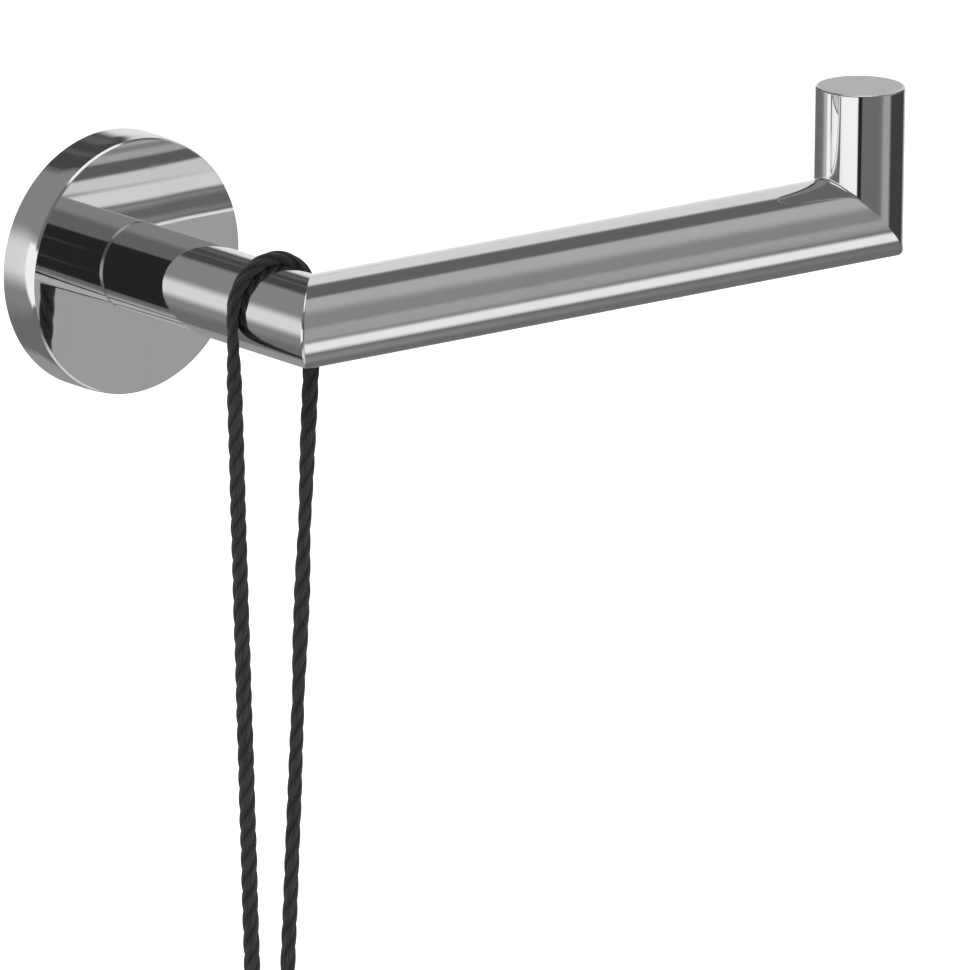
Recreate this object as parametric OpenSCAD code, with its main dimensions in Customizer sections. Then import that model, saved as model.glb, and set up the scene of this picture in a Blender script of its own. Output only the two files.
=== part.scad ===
// Wall-mounted holder: a mitred tube arm on a round rosette, and a looped cord
// over its post that carries a round foot for the spare.
// +Z is up, the wall is the plane y = 0, the arm stands out towards -Y and its
// bar runs towards +X. The origin is the middle of the rosette, on the wall.

/* [Rosette] */
// Outside diameter of the rosette
rosette_d = 52; // [50:1:64]
// How far the rosette's face stands out from the wall
rosette_h = 9.5; // [9:0.5:14]
// Thickness of the rosette's face
rosette_face = 2.5; // [2:0.25:3]
// Thickness of the rosette's rim
rosette_rim = 2.5; // [2:0.25:3]
// Bevel round the rosette's front edge
rosette_bevel = 0.6; // [0.3:0.1:1]

/* [Arm] */
// Outside diameter of the post, the bar and the upturned end
tube_d = 18; // [17:0.5:22]
// Wall of the tube
tube_wall = 1.5; // [1:0.25:1.75]
// From the wall to the middle of the bar
reach = 64; // [60:1:90]
// From the middle of the post to the middle of the upturned end
bar_length = 140; // [110:5:200]
// From the middle of the bar to the top of the cap
tip_height = 27; // [24:1:45]
// Bevel round the foot of the post and the top of the cap
tube_bevel = 0.4; // [0.2:0.1:0.6]
// Thickness of the cap's disc
cap_disc = 1.5; // [1:0.25:3]
// Depth of the cap's plug inside the tube
cap_plug = 6; // [4:1:8]

/* [Wall bracket] */
// Thickness of the bracket's floor
bracket_floor = 2; // [1.5:0.25:2.5]
// How far the bracket's ring stands out from the wall
bracket_h = 5.5; // [5.25:0.25:6]
// Wall of the bracket's ring
bracket_ring = 2.2; // [1.8:0.1:2.6]
// From the middle of one screw slot to the other
slot_pitch = 30; // [26:1:32]
// Width of a screw slot
slot_w = 4.5; // [4:0.25:5.5]
// Length of a screw slot, end to end
slot_l = 7.5; // [6:0.5:8.5]
// Depth of the groove for the set screw
groove_depth = 0.8; // [0.5:0.1:1]
// Width of that groove
groove_w = 2.4; // [2.2:0.1:2.8]

/* [Fasteners] */
// Diameter of the screw that holds the post
screw_d = 6; // [5:0.5:6]
// Length of its shank under the head
screw_l = 16; // [12:1:20]
// Diameter of its head
screw_head_d = 10.5; // [9:0.5:11]
// Height of its head
screw_head_h = 3.3; // [2.5:0.1:3.5]
// Hexagon across flats in its head
screw_hex = 4; // [3:0.5:4]
// Diameter of the washer
washer_d = 12; // [11:0.5:14]
// Thickness of the washer
washer_h = 1.2; // [0.8:0.1:1.4]
// Diameter of the locating pin
pin_d = 2; // [1.5:0.1:2]
// Length of the locating pin
pin_l = 5; // [4:0.5:8]
// How deep the locating pin sits in the rosette's face
pin_seat = 1.7; // [1:0.1:1.7]
// Diameter of the set screw
grub_d = 4; // [3:0.5:4]
// Diameter of the set screw's point
grub_point_d = 2; // [1.5:0.1:2]
// How far the set screw sits below the rim's surface
grub_sink = 0.3; // [0.1:0.1:0.5]
// Hexagon across flats in the set screw
grub_hex = 2; // [1.3:0.1:2]
// Length of the threaded insert inside the post
insert_l = 16; // [12:1:20]
// Diameter of the insert's spigot, which centres the rosette
spigot_d = 10; // [9:0.5:10]

/* [Cord] */
// Diameter of the cord
cord_d = 3.3; // [2.8:0.1:3.6]
// Gap between the cord and the back of the bar
cord_bar_gap = 0.35; // [0.3:0.05:20]
// From the middle of the post down to the top of the foot
cord_drop = 205; // [203:1:205]
// How far each strand leans in, in degrees
cord_lean = 2.6; // [2.5:0.1:2.7]
// Length of each strand that the arch takes down past the bar
arch_stub = 10.3; // [9.5:0.1:10.4]

/* [Foot] */
// Outside diameter of the foot
foot_d = 60; // [54:1:70]
// Height of the foot
foot_h = 16; // [16:1:22]
// Thickness of the foot's top
foot_top = 2.5; // [2.5:0.25:3]
// Thickness of the foot's skirt
foot_skirt = 2; // [1.5:0.25:3]
// Bevel round the foot's edges
foot_bevel = 0.6; // [0.3:0.1:1]
// Bore of the rubber bush
bush_bore = 9; // [8.8:0.1:9.6]
// Outside diameter of the bush in the foot's hole
bush_d = 12; // [11:0.5:13]
// Diameter of the bush's flanges
bush_flange_d = 16; // [14:0.5:18]
// Thickness of each flange
bush_flange_h = 1.2; // [0.8:0.1:1.2]
// Diameter of the knot
knot_d = 13; // [11:0.5:14]
// Height of the knot
knot_h = 9.5; // [8:0.5:10]
// Length of the cut ends below the knot
tail_l = 2.2; // [1.5:0.1:4]

/* [Hidden] */
$fn = 96;

// Clearances: sliding cover, pressed or brazed pieces, screw threads, cord on the post
slide_fit = 0.15;
press_fit = 0.05;
thread_fit = 0.05;
seat_fit = 0.15;
// How far the tools that cut a hole or a face run past it
past = 1;
// Larger than the whole arm, for the mitre cuts
beyond = 2 * max(bar_length, reach);

rosette_r = rosette_d / 2;
cavity_r = rosette_r - rosette_rim;
cavity_depth = rosette_h - rosette_face;
tube_r = tube_d / 2;
bore_r = tube_r - tube_wall;
bracket_r = cavity_r - slide_fit;
groove_y = (bracket_floor + bracket_h) / 2;
head_relief_r = screw_head_d / 2 + slide_fit * 4;
insert_r = bore_r - press_fit;
pin_orbit = (spigot_d / 2 + insert_r) / 2;
grub_body = rosette_rim - grub_sink;
grub_point = groove_depth;
cord_r = cord_d / 2;
wrap_r = tube_r + seat_fit + cord_r;
cord_y = -(reach - tube_r - cord_bar_gap - cord_r);
foot_r = foot_d / 2;
foot_z = -cord_drop;
// The knot hangs clear of the bush by this much
knot_gap = 0.3;
knot_z = foot_z - foot_top - bush_flange_h - knot_gap;
tail_x = 1.8;

// One strand of the cord from below the arch to the knot: how far its middle
// is from the middle of the pair, and its height
STRAND = [[10.3, -11.6], [9.9, -20], [9.4, -30], [9.0, -40], [8.5, -50], [8.1, -60],
    [7.6, -70], [7.2, -80], [6.7, -90], [6.3, -100], [5.8, -110], [5.4, -120],
    [4.9, -130], [4.5, -140], [4.0, -150], [3.5, -160], [3.1, -170], [2.6, -180],
    [2.2, -190], [1.9, -200], [1.8, -209]];
cord_sides = 8;
// Steps round the arch
arch_steps = 14;

// Turns a shape drawn up along +Z so that it stands out from the wall
module out_from_wall(distance = 0) {
    translate([0, -distance, 0])
        rotate([90, 0, 0])
            children();
}

// A round bar with a bevel round its top edge
module bevelled_disc(r, h, bevel) {
    rotate_extrude()
        polygon([[0, 0], [r, 0], [r, h - bevel], [r - bevel, h], [0, h]]);
}

// A hexagon hole, by its distance across flats
module hexagon(across, h) {
    cylinder(h = h, r = across / 2 / cos(30), $fn = 6);
}

// A slot with round ends, along X, cut up along Z
module slot(width, length, h) {
    straight = length - width;
    translate([-straight / 2, -width / 2, 0])
        cube([straight, width, h]);
    for (side = [-1, 1])
        translate([side * straight / 2, 0, 0])
            cylinder(h = h, d = width);
}

// Everything on the outer side of the mitre between the post and the bar
module past_elbow() {
    translate([0, -reach, 0])
        rotate([0, 0, 45])
            translate([-beyond / 2, -beyond, -beyond / 2])
                cube(beyond);
}

// Everything on the outer side of the mitre between the bar and the upturned end
module past_tip_mitre() {
    translate([bar_length, -reach, 0])
        rotate([0, -45, 0])
            translate([0, -beyond / 2, -beyond / 2])
                cube(beyond);
}

// The turned steel bracket: a floor with two slots and a grooved ring
module wall_bracket() {
    color("darkgray")
        out_from_wall()
            difference() {
                rotate_extrude()
                    polygon([[head_relief_r, 0], [bracket_r, 0],
                        [bracket_r, groove_y - groove_w / 2],
                        [bracket_r - groove_depth, groove_y - groove_w / 2],
                        [bracket_r - groove_depth, groove_y + groove_w / 2],
                        [bracket_r, groove_y + groove_w / 2],
                        [bracket_r, bracket_h], [bracket_r - bracket_ring, bracket_h],
                        [bracket_r - bracket_ring, bracket_floor],
                        [head_relief_r, bracket_floor]]);
                for (side = [-1, 1])
                    translate([0, side * slot_pitch / 2, -past])
                        rotate([0, 0, 90])
                            slot(slot_w, slot_l, bracket_floor + 2 * past);
            }
}

// The cover: a cup with a flat face, holes for the spigot and pin, and a
// threaded hole in the rim from below
module rosette() {
    color("silver")
        out_from_wall()
            difference() {
                bevelled_disc(rosette_r, rosette_h, rosette_bevel);
                translate([0, 0, -past])
                    cylinder(h = cavity_depth + past, r = cavity_r);
                cylinder(h = rosette_h + past, r = spigot_d / 2 + press_fit);
                translate([0, pin_orbit, rosette_h - pin_seat])
                    cylinder(h = pin_seat + past, r = pin_d / 2 + press_fit);
                translate([0, -cavity_r + past, groove_y])
                    rotate([90, 0, 0])
                        cylinder(h = rosette_rim + 2 * past, r = grub_d / 2 + thread_fit);
            }
}

// Set screw up through the rim, its point in the bracket's groove
module grub_screw() {
    color("dimgray")
        translate([0, -groove_y, -rosette_r + grub_sink])
            difference() {
                union() {
                    cylinder(h = grub_body, d = grub_d);
                    translate([0, 0, grub_body])
                        cylinder(h = grub_point, d = grub_point_d);
                }
                translate([0, 0, -past])
                    hexagon(grub_hex, past + grub_body * 0.6);
            }
}

// Button-head screw through the rosette's face into the insert
module arm_screw() {
    head_y = cavity_depth - washer_h - screw_head_h;
    color("dimgray")
        out_from_wall(head_y)
            difference() {
                union() {
                    mirror([0, 0, 1])
                        translate([0, 0, -screw_head_h])
                            bevelled_disc(screw_head_d / 2, screw_head_h, screw_head_h / 3);
                    translate([0, 0, screw_head_h])
                        cylinder(h = screw_l, d = screw_d);
                }
                translate([0, 0, -past])
                    hexagon(screw_hex, past + screw_head_h * 0.6);
            }
}

module arm_washer() {
    color("gainsboro")
        out_from_wall(cavity_depth - washer_h)
            difference() {
                cylinder(h = washer_h, d = washer_d);
                translate([0, 0, -past])
                    cylinder(h = washer_h + 2 * past, r = screw_d / 2 + slide_fit);
            }
}

// Dowel between the rosette's face and the insert, so the arm can't turn
module locating_pin() {
    color("gainsboro")
        translate([0, 0, pin_orbit])
            out_from_wall(rosette_h - pin_seat)
                cylinder(h = pin_l, d = pin_d);
}

// Threaded plug brazed into the post, with a spigot through the rosette's face
module post_insert() {
    spigot_l = rosette_face - 2 * press_fit;
    color("goldenrod")
        difference() {
            union() {
                out_from_wall(rosette_h)
                    cylinder(h = insert_l, r = insert_r);
                out_from_wall(rosette_h - spigot_l)
                    cylinder(h = spigot_l + past, d = spigot_d);
            }
            out_from_wall(rosette_h - spigot_l - past)
                cylinder(h = spigot_l + insert_l + 2 * past, r = screw_d / 2 + thread_fit);
            translate([0, 0, pin_orbit])
                out_from_wall(rosette_h - past)
                    cylinder(h = pin_l - pin_seat + past + slide_fit, r = pin_d / 2 + press_fit);
        }
}

// The post, from the rosette's face to the elbow's mitre
module arm_post() {
    post_l = reach + tube_r - rosette_h;
    color("silver")
        difference() {
            out_from_wall(reach + tube_r)
                mirror([0, 0, 1])
                    bevelled_disc(tube_r, post_l, tube_bevel);
            out_from_wall(rosette_h - past)
                cylinder(h = post_l + 2 * past, r = bore_r);
            past_elbow();
        }
}

// The bar, from the elbow's mitre to the mitre at its far end
module arm_bar() {
    color("silver")
        difference() {
            intersection() {
                translate([-tube_r, -reach, 0])
                    rotate([0, 90, 0])
                        difference() {
                            cylinder(h = bar_length + 2 * tube_r, r = tube_r);
                            translate([0, 0, -past])
                                cylinder(h = bar_length + 2 * tube_r + 2 * past, r = bore_r);
                        }
                past_elbow();
            }
            past_tip_mitre();
        }
}

// The upturned end, from its mitre to the underside of the cap
module end_tip() {
    tip_l = tip_height - cap_disc + tube_r;
    color("silver")
        intersection() {
            translate([bar_length, -reach, -tube_r])
                difference() {
                    cylinder(h = tip_l, r = tube_r);
                    translate([0, 0, -past])
                        cylinder(h = tip_l + 2 * past, r = bore_r);
                }
            past_tip_mitre();
        }
}

// The flat disc that closes the upturned end, with a plug inside the tube
module tip_cap() {
    color("silver")
        translate([bar_length, -reach, tip_height - cap_disc]) {
            bevelled_disc(tube_r, cap_disc, tube_bevel);
            translate([0, 0, -cap_plug])
                cylinder(h = cap_plug + cap_disc / 2, r = insert_r);
        }
}

function unit(v) = v / norm(v);
function heading(path, i) = unit(path[min(i + 1, len(path) - 1)] - path[max(i - 1, 0)]);
function ring(middle, along, r, sides) =
    let (across = [0, 1, 0], other = cross(across, along))
    [for (k = [0 : sides - 1])
        middle + r * (cos(360 * k / sides) * across + sin(360 * k / sides) * other)];

// A tube of a few flat sides along a list of points
module swept_tube(path, r, sides) {
    rings = len(path);
    last = (rings - 1) * sides;
    points = [for (i = [0 : rings - 1]) each ring(path[i], heading(path, i), r, sides)];
    wall = [for (i = [0 : rings - 2], k = [0 : sides - 1])
        let (a = i * sides + k, b = i * sides + (k + 1) % sides)
        each [[a, b + sides, b], [a, a + sides, b + sides]]];
    start_cap = [for (k = [1 : sides - 2]) [0, k, k + 1]];
    end_cap = [for (k = [1 : sides - 2]) [last, last + k + 1, last + k]];
    polyhedron(points = points, faces = concat(wall, start_cap, end_cap));
}

// The cord where it lies over the post, with the tops of its two strands
module cord_arch() {
    turn = (180 + 2 * cord_lean) / arch_steps;
    over = [for (i = [0 : arch_steps])
        let (a = 180 + cord_lean - i * turn) [wrap_r * cos(a), cord_y, wrap_r * sin(a)]];
    down = [for (side = [-1, 1])
        [side * (wrap_r * cos(cord_lean) - arch_stub * sin(cord_lean)), cord_y,
            -wrap_r * sin(cord_lean) - arch_stub * cos(cord_lean)]];
    color([0.17, 0.16, 0.16])
        swept_tube(concat([down[0]], over, [down[1]]), cord_r, cord_sides);
}

module cord_strand(side) {
    color([0.17, 0.16, 0.16])
        swept_tube([for (p = STRAND) [side * p[0], cord_y, p[1]]], cord_r, cord_sides);
}

module cord_leg_left() {
    cord_strand(-1);
}

module cord_leg_right() {
    cord_strand(1);
}

// The cup-shaped foot that the spare stands on
module foot() {
    hole_r = bush_d / 2 + press_fit;
    color("silver")
        translate([0, cord_y, foot_z - foot_h])
            rotate_extrude()
                polygon([[foot_r - foot_bevel, 0], [foot_r, foot_bevel],
                    [foot_r, foot_h - foot_bevel], [foot_r - foot_bevel, foot_h],
                    [hole_r, foot_h], [hole_r, foot_h - foot_top],
                    [foot_r - foot_skirt, foot_h - foot_top], [foot_r - foot_skirt, 0]]);
}

// Rubber bush with a flange on each side of the foot's top
module foot_bush() {
    bush_h = foot_top + 2 * bush_flange_h;
    color([0.1, 0.1, 0.1])
        translate([0, cord_y, foot_z - foot_top - bush_flange_h])
            rotate_extrude()
                polygon([[bush_bore / 2, 0], [bush_flange_d / 2, 0],
                    [bush_flange_d / 2, bush_flange_h], [bush_d / 2, bush_flange_h],
                    [bush_d / 2, bush_h - bush_flange_h], [bush_flange_d / 2, bush_h - bush_flange_h],
                    [bush_flange_d / 2, bush_h], [bush_bore / 2, bush_h]]);
}

// The knot under the foot, as a barrel with rounded edges
module cord_knot() {
    round_r = knot_h / 3;
    color([0.17, 0.16, 0.16])
        translate([0, cord_y, knot_z - knot_h])
            rotate_extrude() {
                square([knot_d / 2 - round_r, knot_h]);
                translate([0, round_r])
                    square([knot_d / 2, knot_h - 2 * round_r]);
                for (z = [round_r, knot_h - round_r])
                    translate([knot_d / 2 - round_r, z])
                        circle(r = round_r);
            }
}

// The two cut and sealed ends
module cord_tails() {
    color([0.17, 0.16, 0.16])
        for (side = [-1, 1])
            translate([side * tail_x, cord_y, knot_z - knot_h - tail_l])
                cylinder(h = tail_l, r = cord_r);
}

wall_bracket();
rosette();
grub_screw();
arm_screw();
arm_washer();
locating_pin();
post_insert();
arm_post();
arm_bar();
end_tip();
tip_cap();
cord_arch();
cord_leg_left();
cord_leg_right();
foot();
foot_bush();
cord_knot();
cord_tails();
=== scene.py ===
"""Wall-mounted holder in polished chrome: a mitred tube arm on a round rosette, and a laid
cord looped over its post that carries a round foot. Metres, +Z up, the wall is y = 0."""

import math

import bpy
import numpy as np
from mathutils import Matrix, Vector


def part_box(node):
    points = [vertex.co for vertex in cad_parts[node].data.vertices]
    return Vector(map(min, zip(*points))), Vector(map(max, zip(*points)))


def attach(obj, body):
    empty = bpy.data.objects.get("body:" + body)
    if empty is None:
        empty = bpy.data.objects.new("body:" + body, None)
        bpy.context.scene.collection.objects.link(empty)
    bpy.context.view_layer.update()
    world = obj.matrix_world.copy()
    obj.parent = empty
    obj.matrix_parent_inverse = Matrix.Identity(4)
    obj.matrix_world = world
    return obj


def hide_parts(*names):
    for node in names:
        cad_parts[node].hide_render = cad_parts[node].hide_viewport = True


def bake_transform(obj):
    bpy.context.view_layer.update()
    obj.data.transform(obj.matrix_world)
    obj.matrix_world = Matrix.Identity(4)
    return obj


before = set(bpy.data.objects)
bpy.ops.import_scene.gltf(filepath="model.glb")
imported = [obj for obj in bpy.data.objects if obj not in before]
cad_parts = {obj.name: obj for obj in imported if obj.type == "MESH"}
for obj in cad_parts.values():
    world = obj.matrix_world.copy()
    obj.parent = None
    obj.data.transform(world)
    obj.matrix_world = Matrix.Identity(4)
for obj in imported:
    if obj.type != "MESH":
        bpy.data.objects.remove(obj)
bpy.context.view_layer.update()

MM = 0.001
X, Y, Z = np.eye(3)


def low(node):
    return np.array(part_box(node)[0])


def high(node):
    return np.array(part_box(node)[1])


def middle(node):
    return (low(node) + high(node)) / 2


# Sizes that the frame holds
ROSETTE_R = high("rosette")[0]
ROSETTE_H = -low("rosette")[1]
TUBE_R = high("arm_post")[2]
REACH = -low("arm_post")[1] - TUBE_R
BAR_LENGTH = middle("end_tip")[0]
TIP_TOP = high("tip_cap")[2]
CORD_Y = middle("cord_leg_left")[1]
FOOT_R = high("foot")[0]
FOOT_TOP, FOOT_RIM = high("foot")[2], low("foot")[2]

# Sizes inside the pieces
TUBE_WALL = 1.5 * MM
ROSETTE_FACE = 2.5 * MM
ROSETTE_RIM = 2.5 * MM
SPIGOT_HOLE_R = 5.05 * MM
GRUB_HOLE_R = 2.05 * MM
CAP_DISC = 1.5 * MM
CAP_PLUG = 6 * MM
CAP_BEVEL = 0.4 * MM
# The post's end on the rosette has a chamfer, this far in and this far up
CHAMFER_IN, CHAMFER_UP = 0.3 * MM, 0.5 * MM
# The mitres' corners are rounded to this radius
CREASE = 0.6 * MM
CORD_D = 3.3 * MM
CORD_LEAN = math.radians(2.6)
WRAP_R = 10.8 * MM
ARCH_STUB = 10.3 * MM
TAIL_X = 1.8 * MM
# One turn of the lay, on the left and the right side of the loop
STRANDS = 4
LAY_LEFT, LAY_RIGHT = 16.95 * MM, 20.0 * MM


# Camera

# Azimuth from +Y towards +X, elevation and roll of the line of sight
CAMERA_ANGLES = np.radians([39.29, 14.94, 0.57])
CAMERA_AIM = np.array([63.96, -40, -48.27]) * MM
CAMERA_AWAY = 3.0
FOCAL_PIXELS, PICTURE_PIXELS, SENSOR_MM = 15096.3, 970, 36


def stand(thing, right, up, back, place):
    """Puts a camera or a lamp at its place, with its own axes along three directions."""
    turn = np.eye(4)
    turn[:3] = np.column_stack([right, up, back, place])
    thing.matrix_world = Matrix(turn.tolist())


def set_camera():
    """The photographed view: the camera looks along view, CAMERA_AWAY from the point aimed
    at, and is rolled a little about that line. The lens is long, so lines stay parallel."""
    azimuth, elevation, roll = CAMERA_ANGLES
    view = np.array([
        math.sin(azimuth) * math.cos(elevation),
        math.cos(azimuth) * math.cos(elevation),
        -math.sin(elevation),
    ])
    right = np.cross(view, Z)
    right /= np.linalg.norm(right)
    up = np.cross(right, view)
    right, up = (
        right * math.cos(roll) + up * math.sin(roll),
        up * math.cos(roll) - right * math.sin(roll),
    )
    data = bpy.data.cameras.new("camera")
    camera = bpy.data.objects.new("camera", data)
    bpy.context.scene.collection.objects.link(camera)
    stand(camera, right, up, -view, CAMERA_AIM - view * CAMERA_AWAY)
    data.sensor_width = SENSOR_MM
    data.lens = FOCAL_PIXELS / PICTURE_PIXELS * SENSOR_MM
    data.clip_end = 100
    bpy.context.scene.camera = camera


set_camera()


# Meshes

def new_piece(name, points, faces, uv=None):
    """A mesh object at the origin from an array of points and an array of faces. A face
    whose last index is -1 is a triangle. uv has a pair for each corner of each face."""
    corners = (faces >= 0).sum(1)
    used = faces >= 0
    mesh = bpy.data.meshes.new(name)
    mesh.vertices.add(len(points))
    mesh.vertices.foreach_set("co", points.astype(np.float32).ravel())
    mesh.loops.add(int(corners.sum()))
    mesh.loops.foreach_set("vertex_index", faces[used].astype(np.int32))
    mesh.polygons.add(len(faces))
    starts = np.concatenate([[0], np.cumsum(corners)[:-1]])
    mesh.polygons.foreach_set("loop_start", starts.astype(np.int32))
    mesh.polygons.foreach_set("use_smooth", np.ones(len(faces), bool))
    if uv is not None:
        layer = mesh.uv_layers.new(name="along")
        layer.data.foreach_set("uv", uv[used].astype(np.float32).ravel())
    mesh.update(calc_edges=True)
    mesh.validate()
    piece = bpy.data.objects.new(name, mesh)
    bpy.context.scene.collection.objects.link(piece)
    return piece


def skin(name, points, closed=False, normals=None, uv=None):
    """Faces over a grid of points whose columns run once round. Rows follow one another,
    and the last meets the first where closed. A row whose points all coincide becomes one
    point, with triangles round it. normals has one direction at each row's start and at
    its end, for each column."""
    rows, cols = points.shape[:2]
    index = np.arange(rows * cols).reshape(rows, cols)
    flat = points.reshape(-1, 3)
    pole = np.ptp(points, axis=1).max(1) < 1e-9
    index[pole] = index[pole][:, :1]
    start = np.arange(rows if closed else rows - 1)
    end = (start + 1) % rows
    turn = np.roll(np.arange(cols), -1)
    faces = np.stack([
        index[start], index[start][:, turn], index[end][:, turn], index[end]
    ], axis=2).reshape(-1, 4)
    extra = {}
    if normals is not None:
        first, last = normals
        extra["n"] = np.stack([
            first, first[:, turn], last[:, turn], last
        ], axis=2).reshape(-1, 4, 3)
    if uv is not None:
        extra["uv"] = uv.reshape(-1, 4, 2)
    # Triangles where one side of a quad has shrunk to a point
    top, base = faces[:, 0] == faces[:, 1], faces[:, 2] == faces[:, 3]
    for values in [faces, *extra.values()]:
        values[top, 1:3] = values[top, 2:4]
    faces[top | base, 3] = -1
    # Outwards: the volume inside is the sum of the tetrahedra on the origin
    a, b, c = (flat[faces[:, k]] for k in range(3))
    d = flat[np.where(faces[:, 3] < 0, faces[:, 2], faces[:, 3])]
    volume = (a * (np.cross(b, c) + np.cross(c, d))).sum()
    if volume < 0:
        order = np.where((faces[:, 3] < 0)[:, None], [0, 2, 1, 3], [0, 3, 2, 1])
        faces = np.take_along_axis(faces, order, 1)
        for key, values in extra.items():
            extra[key] = np.take_along_axis(values, order[:, :, None], 1)
    used, faces_new = np.unique(faces[faces >= 0], return_inverse=True)
    faces[faces >= 0] = faces_new
    piece = new_piece(name, flat[used], faces, extra.get("uv"))
    if "n" in extra:
        piece.data.normals_split_custom_set(extra["n"][faces >= 0].tolist())
    return piece


# A rounding that asks for a smooth curve
SMOOTH = -1


def outline(corners, rounding, closed=True, steps=8):
    """A line through the corners, each turned by an arc of its own radius that is tangent to
    both sides, or taken as a point of a smooth curve where the radius is SMOOTH. Gives the
    points, and at each the direction in which the line comes and goes. Where not closed,
    the first and last corners stay as they are."""
    corners = np.array(corners, float)
    points, coming, going = [], [], []
    for i, corner in enumerate(corners):
        first, last = not closed and i == 0, not closed and i == len(corners) - 1
        back = corner - corners[i - 1]
        on = corners[(i + 1) % len(corners)] - corner
        back, on = (v / max(np.linalg.norm(v), 1e-12) for v in (back, on))
        if first:
            back = on
        if last:
            on = back
        if rounding[i] == SMOOTH:
            back = on = (back + on) / np.linalg.norm(back + on)
        turn = math.atan2(back[0] * on[1] - back[1] * on[0], back @ on)
        if first or last or rounding[i] == 0 or abs(turn) < 1e-6:
            points.append(corner[None])
            coming.append(back[None])
            going.append(on[None])
            continue
        bend = rounding[i] * math.tan(abs(turn) / 2)
        side = math.copysign(1, turn) * np.array([-back[1], back[0]])
        centre = corner - back * bend + side * rounding[i]
        share = np.linspace(0, turn, steps + 1)[:, None]
        way = back * np.cos(share) + np.array([-back[1], back[0]]) * np.sin(share)
        points.append(centre - side_of(way) * math.copysign(rounding[i], turn))
        coming.append(way)
        going.append(way)
    return tuple(map(np.concatenate, (points, coming, going)))


def side_of(way):
    """The direction a quarter turn to the left of each way."""
    return np.stack([-way[:, 1], way[:, 0]], axis=1)


def creased(points, normals, axis, place, beyond):
    """Rounds the corner where a tube meets its mirror image in the mitre plane through place,
    whose normal beyond leads out of the tube. With half the corner's angle h and the
    distance t to the plane along the axis, a point turns by g = h (1 - t / w) inside
    w = CREASE tan h: it moves in by CREASE (1 - cos g), or out in the inner half of the
    bend, keeps its distance to the plane, and its normal turns by g towards the plane."""
    lean = normals @ beyond
    half = np.arcsin(np.clip(np.abs(lean), 0, math.sqrt(0.5)))
    away = np.abs((points - place) @ beyond / (axis @ beyond))
    turn = half * np.clip(1 - away / np.maximum(CREASE * np.tan(half), 1e-9), 0, 1)
    inset = -np.sign(lean) * CREASE * (1 - np.cos(turn))
    slide = normals - (lean / (axis @ beyond))[..., None] * axis
    middle_way = normals - lean[..., None] * beyond
    middle_way /= np.linalg.norm(middle_way, axis=-1, keepdims=True)
    whole = np.maximum(np.sin(half), 1e-6)[..., None]
    new = np.sin(half - turn)[..., None] * normals + np.sin(turn)[..., None] * middle_way
    new = np.where(whole > 1e-4, new / whole, normals)
    return points - inset[..., None] * slide, new / np.linalg.norm(new, axis=-1, keepdims=True)


# From this cosine on, a surface's normal counts as the tube's
FLUSH = 0.9999


def turned(name, line, origin, axis, across, around, closed=True, slants=None, mitres=()):
    """A surface of revolution. A point of the line at radius r and height h goes to
    origin + (h + r (p cos a + q sin a)) axis + r (cos a across + sin a other), where a runs
    once round, around times, and the slant (p, q) of that point tilts its ring for a mitre.
    The exact normals come from the line's directions, so flat faces and arcs meet without
    a shade."""
    points, coming, going = line
    slants = np.zeros((len(points), 2)) if slants is None else np.array(slants, float)
    other = np.cross(axis, across)
    angle = np.linspace(0, 2 * math.pi, around, endpoint=False)
    ring = np.cos(angle)[:, None] * across + np.sin(angle)[:, None] * other
    tilt = slants[:, :1] * np.cos(angle) + slants[:, 1:] * np.sin(angle)
    radius, height = points[:, 0, None], points[:, 1, None]
    grid = (
        origin
        + (height + radius * tilt)[:, :, None] * axis
        + radius[:, :, None] * ring[None]
    )
    rows = np.arange(len(points) if closed else len(points) - 1)
    ends = (rows + 1) % len(points)
    area = points[:, 0] * np.roll(points[:, 1], -1) - np.roll(points[:, 0], -1) * points[:, 1]
    hand = -1 if area.sum() > 0 else 1

    def facing(way, at):
        out = side_of(way) * hand
        leaning = axis - slants[at, :1] * across - slants[at, 1:] * other
        n = out[:, 0, None, None] * ring[None] + (out[:, 1, None] * leaning)[:, None, :]
        return n / np.linalg.norm(n, axis=2, keepdims=True)

    first, last = facing(going[rows], rows), facing(coming[ends], ends)
    shape = grid.copy()
    for place, beyond in mitres:
        outside = points[:, 0] > TUBE_R - 1e-9
        moved, _ = creased(grid, np.broadcast_to(ring, grid.shape), axis, place, beyond)
        shape[outside] += (moved - grid)[outside]
        for normal, at in ((first, rows), (last, ends)):
            new = creased(grid[at], normal, axis, place, beyond)[1]
            on_tube = (normal * ring).sum(2, keepdims=True) > FLUSH
            normal[:] = np.where(on_tube & outside[at][:, None, None], new, normal)
    return skin(name, shape, closed, (first, last))


# Cord

# One strand from below the arch to the knot, as in the frame: how far its middle is from
# the middle of the pair, and its height
STRAND = np.array([
    [10.3, -11.6], [9.9, -20], [9.4, -30], [9.0, -40], [8.5, -50], [8.1, -60], [7.6, -70],
    [7.2, -80], [6.7, -90], [6.3, -100], [5.8, -110], [5.4, -120], [4.9, -130], [4.5, -140],
    [4.0, -150], [3.5, -160], [3.1, -170], [2.6, -180], [2.2, -190], [1.9, -200], [1.8, -209],
]) * MM
# The loop has slid a little towards the wall, by height
SLID_HEIGHTS = np.array([-209, -100, -45, -12, 0, 10]) * MM
SLID = np.array([0.05, 0.25, 0.5, 0.5, 0.6, 0.95]) * MM
# How thick the cord is where it is pressed flat on the post, at the post's sides and on
# top of it, how wide it is there, and the heights between which it gets round again
PRESSED_SIDE, PRESSED_TOP, PRESSED_WIDE = 2.1 * MM, 2.75 * MM, 2.9 * MM
ROUND_BELOW, FLAT_ABOVE = -15 * MM, -3 * MM
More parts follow.
